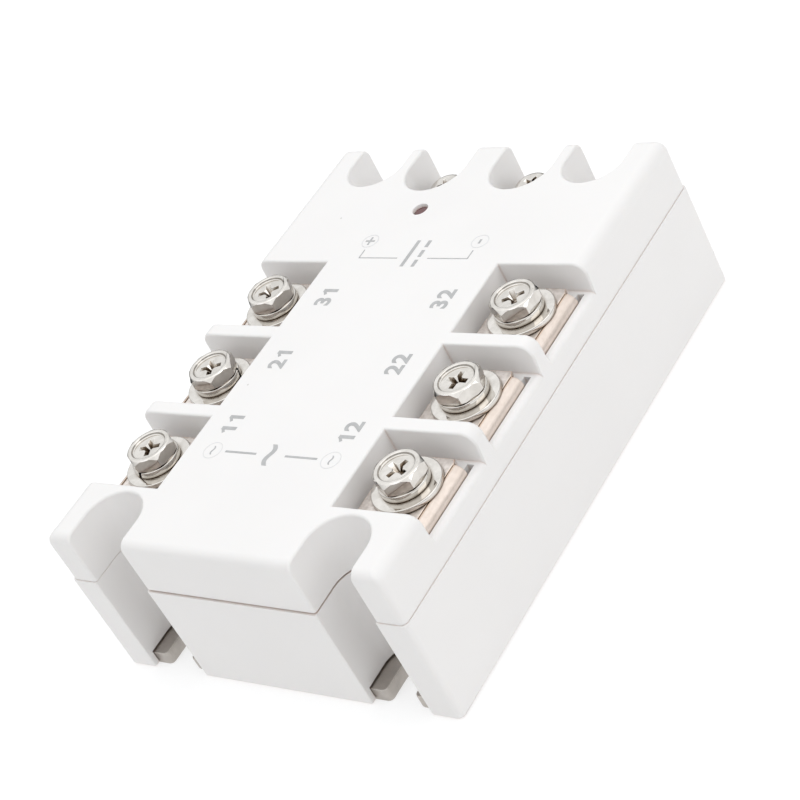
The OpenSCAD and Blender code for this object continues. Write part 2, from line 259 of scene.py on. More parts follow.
def node(tree, kind, **settings):
    """Adds a node; a setting is the value of a socket or a property of the node."""
    made = tree.nodes.new(kind)
    for key, value in settings.items():
        if key in made.inputs:
            made.inputs[key].default_value = value
        else:
            setattr(made, key, value)
    return made


def stretch(tree, source, low, high, to_low, to_high):
    """Maps a value from one range to another."""
    made = tree.nodes.new("ShaderNodeMapRange")
    for key, value in zip(("From Min", "From Max", "To Min", "To Max"),
                          (low, high, to_low, to_high)):
        if isinstance(value, (int, float)):
            made.inputs[key].default_value = value
        else:
            tree.links.new(value, made.inputs[key])
    tree.links.new(source, made.inputs["Value"])
    return made.outputs["Result"]


# %% Fine grain
grain, g_in, g_out = new_group("fine_grain", {"Scale": 3000.0, "Detail": 3.0}, ["Value"])
place = node(grain, "ShaderNodeTexCoord")
noise = node(grain, "ShaderNodeTexNoise", Roughness=0.6)
grain.links.new(place.outputs["Object"], noise.inputs["Vector"])
grain.links.new(g_in.outputs["Scale"], noise.inputs["Scale"])
grain.links.new(g_in.outputs["Detail"], noise.inputs["Detail"])
grain.links.new(noise.outputs["Fac"], g_out.inputs["Value"])

# %% [markdown]
# ### Stray specks
# A white moulding always has a few dark specks of burnt resin. Cells from a Voronoi
# pattern give each possible speck its place, a threshold on the cell's colour keeps
# only a few of them, and the distance from the cell's point gives its small round shape.

# %% Stray specks
specks, g_in, g_out = new_group("specks", {"Scale": 160.0, "Size": 0.08}, ["Mask"])
place = node(specks, "ShaderNodeTexCoord")
cells = node(specks, "ShaderNodeTexVoronoi")
specks.links.new(place.outputs["Object"], cells.inputs["Vector"])
specks.links.new(g_in.outputs["Scale"], cells.inputs["Scale"])
near = stretch(specks, cells.outputs["Distance"], 0.0, g_in.outputs["Size"], 1.0, 0.0)
split = node(specks, "ShaderNodeSeparateColor")
specks.links.new(cells.outputs["Color"], split.inputs["Color"])
rare = 0.82
few = node(specks, "ShaderNodeMath", operation="GREATER_THAN")
few.inputs[1].default_value = rare
specks.links.new(split.outputs["Red"], few.inputs[0])
both = node(specks, "ShaderNodeMath", operation="MULTIPLY")
specks.links.new(near, both.inputs[0])
specks.links.new(few.outputs["Value"], both.inputs[1])
specks.links.new(both.outputs["Value"], g_out.inputs["Mask"])

# %% [markdown]
# ### Edge wear and painted edge highlights
# Handling and tumbling rub plating along its edges, and rounded edges catch bright
# glints; a lighter colour on the edges paints the glint along with the wear. The Bevel
# node gives the normal of an imagined rounding; where it differs from the true normal
# there is an edge. Painting the edges would give more control, but it would have to be
# done piece by piece.

# %% Edge wear and painted edge highlights
edge_wear_glint, g_in, g_out = new_group("edge_wear_and_glint", {"Radius": 0.0002, "Gain": 6.0}, ["Mask"])
around = node(edge_wear_glint, "ShaderNodeBevel")
around.samples = 4
edge_wear_glint.links.new(g_in.outputs["Radius"], around.inputs["Radius"])
flat = node(edge_wear_glint, "ShaderNodeNewGeometry")
dot = node(edge_wear_glint, "ShaderNodeVectorMath", operation="DOT_PRODUCT")
edge_wear_glint.links.new(around.outputs["Normal"], dot.inputs[0])
edge_wear_glint.links.new(flat.outputs["Normal"], dot.inputs[1])
turned = node(edge_wear_glint, "ShaderNodeMath", operation="SUBTRACT")
turned.inputs[0].default_value = 1.0
edge_wear_glint.links.new(dot.outputs["Value"], turned.inputs[1])
gain = node(edge_wear_glint, "ShaderNodeMath", operation="MULTIPLY", use_clamp=True)
edge_wear_glint.links.new(turned.outputs["Value"], gain.inputs[0])
edge_wear_glint.links.new(g_in.outputs["Gain"], gain.inputs[1])
edge_wear_glint.links.new(gain.outputs["Value"], g_out.inputs["Mask"])

# %% [markdown]
# ### Painted shade in narrow places
# Gaps between washers, recesses, creases and inner corners get a darker colour, painted
# shade. Ambient occlusion over a short reach finds such places.

# %% Painted shade in narrow places
cavity_shade, g_in, g_out = new_group("cavity_shade", {"Reach": 0.001, "Start": 0.35, "End": 0.75}, ["Mask"])
closed = node(cavity_shade, "ShaderNodeAmbientOcclusion")
closed.samples = 6
closed.only_local = False
cavity_shade.links.new(g_in.outputs["Reach"], closed.inputs["Distance"])
shut = stretch(cavity_shade, closed.outputs["AO"], g_in.outputs["Start"], g_in.outputs["End"],
               1.0, 0.0)
cavity_shade.links.new(shut, g_out.inputs["Mask"])

# %% [markdown]
# ### Scratches along one direction
# Rolled strip and brushed plate have fine parallel lines. Noise that is stretched far
# more along one axis than along the others looks just like them at every distance.

# %% Scratches along one direction
brush, g_in, g_out = new_group("brushed", {"Across": 9000.0, "Along": 400.0}, ["Value"])
place = node(brush, "ShaderNodeTexCoord")
shape = node(brush, "ShaderNodeCombineXYZ")
brush.links.new(g_in.outputs["Across"], shape.inputs["X"])
brush.links.new(g_in.outputs["Along"], shape.inputs["Y"])
brush.links.new(g_in.outputs["Across"], shape.inputs["Z"])
drawn = node(brush, "ShaderNodeVectorMath", operation="MULTIPLY")
brush.links.new(place.outputs["Object"], drawn.inputs[0])
brush.links.new(shape.outputs["Vector"], drawn.inputs[1])
noise = node(brush, "ShaderNodeTexNoise", Scale=1.0, Detail=2.0)
brush.links.new(drawn.outputs["Vector"], noise.inputs["Vector"])
brush.links.new(noise.outputs["Fac"], g_out.inputs["Value"])
print("shared effects:", [g.name for g in bpy.data.node_groups])

# %% [markdown]
# ## One recipe for a finish
# Every finish here is a base colour that drifts a little, a roughness that follows the
# grain, and a very shallow bump; some also get lighter edges, partly a painted
# highlight, and darker narrow places, painted shade. `finish` wires those once; each
# material then states its own colours and numbers, and adds what only it has.


# %% The recipe
def group_node(tree, group, **values):
    """Places a node group with its own values and returns its output."""
    made = tree.nodes.new("ShaderNodeGroup")
    made.node_tree = group
    for key, value in values.items():
        made.inputs[key].default_value = value
    return made.outputs[0]


def mix(tree, amount, first, second):
    """Blends two colours; each is a socket or a plain (r, g, b)."""
    made = tree.nodes.new("ShaderNodeMix")
    made.data_type = "RGBA"
    tree.links.new(amount, made.inputs["Factor"])
    for index, value in ((6, first), (7, second)):
        if isinstance(value, tuple):
            made.inputs[index].default_value = (*value, 1)
        else:
            tree.links.new(value, made.inputs[index])
    return made.outputs[2]


def finish(name, colour, other, metal=0.0, rough=(0.4, 0.5), grain_scale=3000.0,
           drift_scale=60.0, bump=0.05, depth=0.00002, wear_glint_colour=None, wear_glint_radius=0.0002,
           brushed=None, shade_colour=None, shade_reach=0.001):
    """A principled finish; returns the material, its tree and its shader."""
    made = bpy.data.materials.new(name)
    made.use_nodes = True
    tree = made.node_tree
    shader = tree.nodes["Principled BSDF"]
    shader.inputs["Metallic"].default_value = metal
    made.diffuse_color = (*colour, 1)
    drift = stretch(tree, group_node(tree, grain, Scale=drift_scale, Detail=2.0),
                    0.35, 0.65, 0.0, 1.0)
    tint = mix(tree, drift, colour, other)
    fine = (group_node(tree, brush, Across=brushed[0], Along=brushed[1]) if brushed
            else group_node(tree, grain, Scale=grain_scale, Detail=3.0))
    # A lighter colour on convex edges: painted edge highlight, partly rubbed plating.
    if wear_glint_colour:
        edges = group_node(tree, edge_wear_glint, Radius=wear_glint_radius, Gain=6.0)
        tint = mix(tree, edges, tint, wear_glint_colour)
    # Painted shade: a darker colour where ambient occlusion finds narrow places.
    if shade_colour:
        tint = mix(tree, group_node(tree, cavity_shade, Reach=shade_reach), tint, shade_colour)
    tree.links.new(tint, shader.inputs["Base Color"])
    tree.links.new(stretch(tree, fine, 0.3, 0.7, *rough), shader.inputs["Roughness"])
    relief = node(tree, "ShaderNodeBump", Strength=bump, Distance=depth)
    tree.links.new(fine, relief.inputs["Height"])
    tree.links.new(relief.outputs["Normal"], shader.inputs["Normal"])
    return made, tree, shader


# %% [markdown]
# ## White moulded plastic
# The housing is a glass-filled nylon or polyester, slightly warm white, with a satin
# spark-eroded grain and a few grey specks. A plain white would look like paper; a weak
# grain in roughness and bump makes the long soft highlights of a moulding. Slots, pocket
# walls and inner corners get a warmer, darker colour: painted shade.

# %% Housing finish
housing_white, tree, shader = finish(
    "housing_white_plastic", (0.805, 0.788, 0.776), (0.792, 0.775, 0.763),
    rough=(0.38, 0.52), grain_scale=2600.0, drift_scale=45.0, bump=0.12, depth=0.00002,
    # Painted shade: narrow places turn a warmer, darker grey.
    shade_colour=(0.70, 0.60, 0.55), shade_reach=0.001)
spots = group_node(tree, specks, Scale=130.0, Size=0.035)
base = shader.inputs["Base Color"].links[0].from_socket
tree.links.new(mix(tree, spots, base, (0.42, 0.40, 0.37)), shader.inputs["Base Color"])
shader.inputs["IOR"].default_value = 1.5
shader.inputs["Subsurface Weight"].default_value = 0.06
shader.inputs["Subsurface Radius"].default_value = (0.0012, 0.001, 0.0008)
shader.inputs["Subsurface Scale"].default_value = 1.0

# %% [markdown]
# ## Metals
# Nickel plate on the screws is nearly a mirror; its edges get a lighter colour, a
# painted highlight that also stands for rubbed plating, and its recesses and the gaps
# between washers get a dark brown painted shade. The tinned copper strips are duller,
# show the rolling direction, and let the copper through where the metal was bent; their
# edges show copper, partly real wear and partly painted highlight, and their crease and
# narrow places get painted shade. The base plate is plated too, but tumbled and grey,
# with lighter edges that are partly painted highlight.

# %% Metal finishes
nickel, tree, shader = finish(
    "nickel_plate", (0.73, 0.70, 0.66), (0.63, 0.60, 0.56), metal=1.0,
    rough=(0.03, 0.11), grain_scale=1500.0, drift_scale=500.0, bump=0.06,
    # Lighter edges: painted highlight, partly rubbed plating. Dark brown in recesses and
    # between washers: painted shade.
    depth=0.00002, wear_glint_colour=(0.93, 0.90, 0.87), wear_glint_radius=0.00012,
    shade_colour=(0.20, 0.15, 0.10))

tinned_copper, tree, shader = finish(
    "tinned_copper", (0.86, 0.80, 0.76), (0.66, 0.60, 0.555), metal=1.0,
    rough=(0.34, 0.50), drift_scale=900.0, bump=0.3, depth=0.00003,
    # Copper-coloured edges: rubbed tin, partly a painted highlight. Dark brown in the crease
    # and narrow places: painted shade.
    wear_glint_colour=(0.93, 0.66, 0.47), wear_glint_radius=0.0003, brushed=(7000.0, 900.0),
    shade_colour=(0.16, 0.11, 0.07), shade_reach=0.0006)
bend_start, bend_end = 33.0 * MM, 33.4 * MM
place = node(tree, "ShaderNodeTexCoord")
axes = node(tree, "ShaderNodeSeparateXYZ")
tree.links.new(place.outputs["Object"], axes.inputs[0])
across = node(tree, "ShaderNodeMath", operation="ABSOLUTE")
tree.links.new(axes.outputs["X"], across.inputs[0])
bent = stretch(tree, across.outputs[0], bend_start, bend_end, 0.0, 0.7)
base = shader.inputs["Base Color"].links[0].from_socket
tree.links.new(mix(tree, bent, base, (0.75, 0.64, 0.56)), shader.inputs["Base Color"])

base_metal, tree, shader = finish(
    "plated_base_metal", (0.50, 0.465, 0.43), (0.42, 0.39, 0.36), metal=1.0,
    rough=(0.28, 0.46), drift_scale=260.0, bump=0.2, depth=0.00003,
    # Lighter edges: partly rubbed plating, partly painted highlight.
    wear_glint_colour=(0.82, 0.79, 0.74), wear_glint_radius=0.0003, brushed=(500.0, 4500.0))

bare_copper, tree, shader = finish(
    "bare_copper", (0.72, 0.40, 0.26), (0.62, 0.33, 0.22), metal=1.0,
    rough=(0.28, 0.45), grain_scale=2500.0, drift_scale=300.0, bump=0.1)

# %% [markdown]
# ## The finishes inside
# Nobody sees the inside until the relay is opened, but each part in there has its own
# stuff: green solder mask, white ceramic, grey silicon, black epoxy, tan resistor
# lacquer with colour rings, blue sleeves, and a soft milky gel over the power stage.

# %% Inner finishes
board_green, tree, shader = finish(
    "solder_mask", (0.018, 0.12, 0.045), (0.028, 0.17, 0.06), rough=(0.22, 0.38),
    grain_scale=2200.0, drift_scale=700.0, bump=0.15, depth=0.00003)
shader.inputs["Coat Weight"].default_value = 0.3

ceramic, tree, shader = finish(
    "alumina_ceramic", (0.86, 0.85, 0.80), (0.80, 0.79, 0.75), rough=(0.45, 0.6),
    grain_scale=5200.0, drift_scale=350.0, bump=0.1)

silicon, tree, shader = finish(
    "silicon", (0.16, 0.18, 0.21), (0.11, 0.125, 0.15), metal=1.0, rough=(0.16, 0.3),
    grain_scale=4200.0, drift_scale=900.0, bump=0.04)

chip_black, tree, shader = finish(
    "epoxy_black", (0.022, 0.022, 0.023), (0.034, 0.034, 0.034), rough=(0.4, 0.6),
    grain_scale=5200.0, drift_scale=500.0, bump=0.3, depth=0.00003)

sleeve_blue, tree, shader = finish(
    "sleeve_blue", (0.028, 0.045, 0.16), (0.02, 0.035, 0.12), rough=(0.25, 0.4),
    grain_scale=2500.0, drift_scale=400.0, bump=0.06)
shader.inputs["Coat Weight"].default_value = 0.4

gel, tree, shader = finish(
    "potting_gel", (0.70, 0.68, 0.62), (0.64, 0.62, 0.57), rough=(0.18, 0.32),
    grain_scale=700.0, drift_scale=120.0, bump=0.08, depth=0.0001)
shader.inputs["Subsurface Weight"].default_value = 0.3
shader.inputs["Subsurface Radius"].default_value = (0.003, 0.0026, 0.002)
shader.inputs["Subsurface Scale"].default_value = 1.0

lamp_red, tree, shader = finish(
    "lamp_red", (0.10, 0.006, 0.006), (0.07, 0.004, 0.004), rough=(0.22, 0.34),
    grain_scale=1500.0, drift_scale=700.0, bump=0.02)
shader.inputs["Coat Weight"].default_value = 0.6

print_faint, tree, shader = finish(
    "print_faint", (0.66, 0.66, 0.66), (0.70, 0.70, 0.70), rough=(0.55, 0.7),
    grain_scale=3200.0, drift_scale=1200.0, bump=0.1)

print_grey, tree, shader = finish(
    "print_grey", (0.40, 0.40, 0.40), (0.46, 0.46, 0.46), rough=(0.55, 0.7),
    grain_scale=3200.0, drift_scale=1200.0, bump=0.1)

# %% [markdown]
# ### Colour rings on the resistors
# Resistors wear rings that tell their value. A wave pattern along the body gives dark
# rings at a regular pitch; modelled rings would be far smaller than anyone could see.

# %% Colour rings on the resistors
resistor_tan, tree, shader = finish(
    "resistor_lacquer", (0.55, 0.40, 0.22), (0.50, 0.35, 0.19), rough=(0.2, 0.34),
    grain_scale=2500.0, drift_scale=400.0, bump=0.05)
place = node(tree, "ShaderNodeTexCoord")
rings = node(tree, "ShaderNodeTexWave", bands_direction="Y", Scale=230.0)
tree.links.new(place.outputs["Object"], rings.inputs["Vector"])
band = stretch(tree, rings.outputs["Fac"], 0.80, 0.84, 0.0, 1.0)
base = shader.inputs["Base Color"].links[0].from_socket
tree.links.new(mix(tree, band, base, (0.20, 0.05, 0.02)), shader.inputs["Base Color"])
print("finishes:", len(bpy.data.materials))

# %% [markdown]
# ## Measures that the housing needs
# The outer sizes come from the CAD boxes. The pocket, slot and notch sizes are the
# driving dimensions of the moulding, named once here.

# %% Housing measures
shell_high = node_box("upper_housing")[1]
lower_low, lower_high = node_box("lower_housing")
plate_low, plate_high = node_box("base_plate")
half_w, half_l = shell_high.x, shell_high.y
top = shell_high.z
phases = [centre_of(f"power_screw_{n}").y for n in (1, 3, 5)]
load_x = centre_of("power_screw_2").x
input_x = centre_of("input_screw_2").x
input_y = centre_of("input_screw_2").y

seam_z = 22.2
ceiling = top - 2.2
wall = 1.8
pocket_x = 19.3
pocket_half = 8.6
rail_z = 26.9
pad_z = node_box("power_terminal_2")[1].z - 1.2
strip_in, strip_out = node_box("power_terminal_2")[0].x, node_box("power_terminal_2")[1].x
slot_x, slot_y, slot_r, plate_slot_r = 24.8, 46.5, 6.1, 2.9
join_screw_y = (-47.6, slot_y)
join_hole_r, join_boss_r = 1.7, 3
notch_r, notch_z = 6.5, 24.4
cavity_y = slot_y - slot_r - 2.1
spine_x = slot_x - slot_r - wall
spine_y = half_l + 0.25 - wall - 0.2
FAR = 80
print("half width", round(half_w, 2), "half length", round(half_l, 2), "phases", phases)


# %% Cutters for slots and notches
def slot_tool(x, y, radius, z0, z1, way):
    """A cutter that is round at (x, y) and runs straight on along +Y or -Y."""
    tool = bar("slot_tool", radius, z0, z1, at=(x, y), sides=72)
    pick(tool, "FACE", lambda f: True)
    bpy.ops.mesh.bisect(plane_co=(x, y, 0), plane_no=(0, way, 0), use_fill=True,
                        clear_outer=True)
    done()
    pick(tool, "FACE", lambda f: f.normal.y * way > 0.99)
    bpy.ops.mesh.extrude_region_move(TRANSFORM_OT_translate={"value": (0, way * 30, 0)})
    done()
    return tool


def mount_slots(radius, z0, z1):
    return [slot_tool(sx * slot_x, sy * slot_y, radius, z0, z1, sy)
            for sx in (-1, 1) for sy in (-1, 1)]


# %% [markdown]
# ## The upper shell
# One moulding carries the flat top, the pockets' dividers, the rails outside the
# pockets, and the slots for the heat-sink screws. It is made as a toolmaker would:
# a block with its edges rounded, hollowed from below, then cut from outside. The rims
# that the cutters leave are rounded last, because a bevel before the cut would be lost.
# A subdivision cage could give the same softness, but its flat faces would not stay
# flat.

# %% Block with round edges
upper = block("upper_shell", (-half_w, -half_l, seam_z + 0.06), shell_high)
side_r, end_r, corner_r = 2.4, 1.9, 1.1


def weigh(wanted, weight):
    """Sets how much of the bevel's width the wanted edges get."""
    pick(upper, "EDGE", lambda e: wanted(middle(e)))
    bpy.ops.transform.edge_bevelweight(value=weight)
    done()


weigh(lambda p: p.z > top - 0.1 and abs(p.x) > half_w - 0.1, 1.0)
weigh(lambda p: p.z > top - 0.1 and abs(p.y) > half_l - 0.1, end_r / side_r)
weigh(lambda p: abs(p.x) > half_w - 0.1 and abs(p.y) > half_l - 0.1, corner_r / side_r)
only(upper)
round_off = upper.modifiers.new("round", "BEVEL")
round_off.limit_method = "WEIGHT"
round_off.width = side_r
round_off.segments = 7
round_off.use_clamp_overlap = False
bpy.ops.object.modifier_apply(modifier="round")
print("rounded block:", len(upper.data.polygons), "faces")

# %% [markdown]
# ### The hollow inside
# The walls of a moulding are about as thick everywhere, so the block is hollowed with
# plain boxes that follow the outside. Solidify on an outer skin would do the same for a
# simpler form, but the halls for the board and the power stage differ in height.

# %% Hollow it from below
below = seam_z - 1
end_hall_y = phases[2] + 10.8
cut(upper,
    block("hall", (2 - pocket_x, -cavity_y, below), (pocket_x - 2, end_hall_y, ceiling)),
    block("nose", (-spine_x, -spine_y, below), (spine_x, 1 - cavity_y, ceiling)),
    block("under", (-strip_out - 0.1, -cavity_y, below),
          (strip_out + 0.1, phases[2] + 9.6, rail_z - 2)),
    block("end_hall", (wall - half_w, end_hall_y, below), (half_w - wall, 37.3, ceiling)))
print("hollowed:", len(upper.data.polygons), "faces")

# %% [markdown]
# ### Bosses and posts
# A square boss holds each nut, four round posts hold the control board down, and one
# takes the long screw from below. They are joined to the ceiling with a Boolean union,
# a little inside it, so that no gap is left.

# %% Bosses and posts
boss_half, boss_low = 5.9, 17.6
post_r, board_top = 1.8, pad_z - 3.3
for side in (-1, 1):
    for y in phases:
        x0, x1 = sorted((side * (load_x - boss_half), side * (load_x + boss_half)))
        add(upper, block("boss", (x0, y - boss_half, boss_low),
                         (x1, y + boss_half, rail_z - 0.5)))
for x, y in ((14.2, phases[0]), (-14.2, phases[0]), (31, 34), (-31, 34)):
    add(upper, bar("post", post_r, board_top, ceiling + 0.5, at=(x, y), sides=32))
add(upper, bar("post", join_boss_r, seam_z + 0.06, ceiling + 0.5, at=(0, join_screw_y[0]),
               sides=32))
for x in (-input_x, input_x):
    add(upper, block("boss", (x - 5, input_y - 5, 17.4), (x + 5, spine_y + 0.1, notch_z - 0.5)))

# %% [markdown]
# ### Pockets, slots and notches
# Six pockets open to the sides, four mounting slots go right through, and two notches
# hold the control screws. The same cutter makes slots and notches: half a cylinder,
# bisected and drawn out to the end wall.

# %% Cut the pockets, slots and notches
pocket_tools = []
for side in (-1, 1):
    for y in phases:
        x0, x1 = sorted((side * pocket_x, side * FAR))
        pocket_tools.append(block("pocket", (x0, y - pocket_half, rail_z),
                                  (x1, y + pocket_half, FAR)))
notch_tools = [slot_tool(x, input_y, notch_r, notch_z, FAR, 1) for x in (-input_x, input_x)]
lamp = centre_of("led_indicator")
cut(upper, *pocket_tools, *mount_slots(slot_r, -FAR, FAR), *notch_tools)

# %% Round the rims
pocket_foot, lamp_r = 28.2, 1.52
rims = soften(upper, 0.5, lambda p: p.z > pocket_foot or (abs(p.y) > half_l - 0.05
                                                          and p.z > seam_z + 0.2))
cut(upper, bar("lamp_hole", lamp_r, ceiling - 1, FAR, at=(lamp.x, lamp.y), sides=48))
soften(upper, 0.2, lambda p: p.z > top - 0.01
       and math.hypot(p.x - lamp.x, p.y - lamp.y) < lamp_r + 0.08, segments=2)
print("rims rounded:", rims, "edges")

# %% [markdown]
# ### Rails, pads and the strips' slots
# Outside each pocket a low rail keeps fingers off the strip. Its outer corner is
# rounded by cutting away a bar that has itself lost a cylinder, because a bevel would
# also run up the pocket's walls. Each strip lies on a raised pad and dives through a slot.

# %% Round the rails, and add the pads and the strips' slots
rail_r, nut_r, shank_hole_r = 1.0, 4.73, 2.8
pad_half, leg_slot_half = 6.6, 7.8
for side in (-1, 1):
    for y in phases:
        x0, x1 = sorted((side * (half_w - rail_r), side * (half_w + 1)))
        corner = block("rail_corner", (x0, y - pocket_half, rail_z - rail_r),
                       (x1, y + pocket_half, rail_z + 1))
        core = begin("core", bpy.ops.mesh.primitive_cylinder_add, vertices=48,
                     radius=rail_r, depth=30, rotation=(math.pi / 2, 0, 0),
                     location=(side * (half_w - rail_r), y, rail_z - rail_r))
        cut(upper, cut(corner, core))
        x0, x1 = sorted((side * strip_in, side * 32.9))
        add(upper, block("pad", (x0, y - pad_half, rail_z - 1), (x1, y + pad_half, pad_z)))
        x0, x1 = sorted((side * (strip_out - 1.3), side * (strip_out + 0.1)))
        cut(upper, block("leg_slot", (x0, y - leg_slot_half, 10),
                         (x1, y + leg_slot_half, rail_z + 0.5)))
        cut(upper, bar("nut_seat", nut_r, pad_z - 4, pad_z + 1, at=(side * load_x, y),
                       sides=6, turn=math.pi / 6))
        cut(upper, bar("shank_hole", shank_hole_r, 18.5, pad_z + 1, at=(side * load_x, y),
                       sides=32))
settle(upper, housing_white, stands_for=["upper_housing"])

# %% [markdown]
# ## The lower shell
# A plain tray turned over: four walls, the same four slots, and a rebate below that
# takes the base plate. Its rim stands a quarter of a millimetre proud of the upper
# shell, which is why the joint shows as a fine line and shadow.

# %% Lower shell
lower = block("lower_shell", lower_low, (lower_high.x, lower_high.y, seam_z))
soften(lower, 1.1, lambda p: abs(p.z - 11) < 3, segments=4)
cut(lower,
    block("hall", (wall - half_w, -cavity_y, -1), (half_w - wall, cavity_y, FAR)),
    block("spine", (-spine_x, -spine_y, -1), (spine_x, spine_y, FAR)),
    block("rebate", (plate_low.x - 0.1, plate_low.y - 0.1, -1),
          (plate_high.x + 0.1, plate_high.y + 0.1, plate_high.z + 0.3)))
for y in join_screw_y:
    add(lower, bar("boss", join_boss_r, plate_high.z, seam_z, at=(0, y), sides=32))
cut(lower, *mount_slots(slot_r, -FAR, FAR))
soften(lower, 0.35, lambda p: abs(p.y) > half_l and 0.4 < p.z < seam_z - 0.4)
soften(lower, 0.22, lambda p: p.z > seam_z - 0.01 or p.z < lower_low.z + 0.01,
       segments=2)
cut(lower, block("open_seam", (-23.6, -FAR, seam_z - 0.3), (23.6, -37, seam_z + 1)),
    *(bar("hole", join_hole_r, -1, FAR, at=(0, y), sides=32) for y in join_screw_y))
settle(lower, housing_white, stands_for=["lower_housing"])

# %% [markdown]
# ## The base plate
# A stamped metal plate carries the heat into the heat sink. Only its lips show, in the
# four open slots, with corners that tumbling has rounded. Four cuts and a bevel on
# every edge are nearly all it needs. The two countersunk holes come after the bevel: a
# bevel across a face with holes in it can tangle that face.

# %% Base plate
plate = block("metal_base", plate_low, plate_high)
soften(plate, 1.2, lambda p: abs(p.z - plate_high.z / 2) < 0.5, segments=4)
cut(plate, *mount_slots(plate_slot_r, -FAR, FAR))
soften(plate, 0.9, lambda p: abs(p.z - plate_high.z / 2) < 0.5 and abs(p.y) > 50,
       segments=3, sharp=60)
soften(plate, 0.22, segments=2, sharp=50)
sink_r, sink_depth = 3.1, 1.5
for y in join_screw_y:
    sink = begin("sink", bpy.ops.mesh.primitive_cone_add, vertices=48, radius1=sink_r,
                 radius2=join_hole_r, depth=sink_depth, location=(0, y, sink_depth / 2 - 0.01))
    cut(plate, sink, bar("hole", join_hole_r, -1, 5, at=(0, y), sides=48))
settle(plate, base_metal, stands_for=["base_plate"])

# %% [markdown]
# ## Load terminals
# Each terminal is one strip of tinned copper. It lies flat under the screw, tapers,
# turns down over the rail's inner edge and runs to a foot on the power stage. The bend
# is spun from the strip's end face, just as a press brake would turn it, and a shallow
# crease marks where the bend begins.

# %% One terminal strip
strip_t, seat_half, leg_half, bend_r = 1.2, 7.75, 6.55, 0.75
seat_end, taper_end, shoulder = 32.6, 32.8, 0.94
strip_shift = 0.75
seat_z = pad_z + strip_t
bend_x = strip_out - strip_t - bend_r
strip = block("strip", (strip_in, -seat_half, pad_z), (seat_end, seat_half, seat_z))


def grow(piece, wanted, move, narrow=1.0):
    """Extrudes the wanted face and squeezes the new end along Y."""
    pick(piece, "FACE", wanted)
    bpy.ops.mesh.extrude_region_move(TRANSFORM_OT_translate={"value": move})
    bpy.ops.transform.resize(value=(1, narrow, 1))
    done()


def outward(x):
    """A test for the face that looks along +X at x."""
    return lambda f: f.normal.x > 0.9 and abs(f.calc_center_median().x - x) < 0.01


grow(strip, outward(seat_end), (taper_end - seat_end, 0, 0), shoulder)
grow(strip, outward(taper_end), (bend_x - taper_end, 0, 0), leg_half / seat_half / shoulder)
pick(strip, "FACE", outward(bend_x))
bpy.ops.mesh.spin(steps=12, angle=-math.pi / 2, axis=(0, 1, 0),
                  center=(bend_x, 0, pad_z - bend_r))
done()
foot_z = node_box("power_terminal_2")[0].z
low_end = min(v.co.z for v in strip.data.vertices)
grow(strip, lambda f: f.normal.z < -0.9 and abs(f.calc_center_median().z - low_end) < 0.05,
     (0, 0, foot_z - low_end))
pick(strip, "VERT", lambda v: True)
bpy.ops.mesh.remove_doubles(threshold=0.01)
bpy.ops.mesh.normals_make_consistent(inside=False)
done()
add(strip, block("foot", (25.5, -3.5, foot_z), (strip_out - 0.2, 3.5, foot_z + strip_t)))
screw_hole_r = 2.75
crease_low, crease_high = bend_x - 0.02, bend_x + 0.24
cut(strip, bar("hole", screw_hole_r, pad_z - 1, seat_z + 1, at=(load_x, strip_shift), sides=48),
    block("crease", (crease_low, -9, seat_z - 0.2), (crease_high, 9, seat_z + 1)))
soften(strip, 0.16, segments=2, sharp=40)
print("strip:", len(strip.data.polygons), "faces")

# %% Six terminals
for n in range(1, 7):
    y = phases[(n - 1) // 2]
    one = copy(strip, f"terminal_strip_{n}", move=(0, y - strip_shift, 0))
    if n % 2:
        twin = mirrored(one, f"terminal_strip_{n}_left")
        bpy.data.objects.remove(one)
        one = twin
        one.name = f"terminal_strip_{n}"
    settle(one, tinned_copper, stands_for=[f"power_terminal_{n}"])
bpy.data.objects.remove(strip)

# %% [markdown]
# ## Load screws
# The heads are cold-formed: a hexagon crossed with a double cone leaves the curved
# chamfers, a punch leaves the dished top, and a cross recess takes the driver. The
# thread is a real helix, since it shows when the screw is loosened.


# %% [markdown]
# ### Threads
# The profile is a triangle with its point inwards, which the Screw modifier winds
# upwards by one pitch a turn. A bump pattern would do for a screw that never moves, but
# these rise out of their nuts. The two ends are closed with a face each.

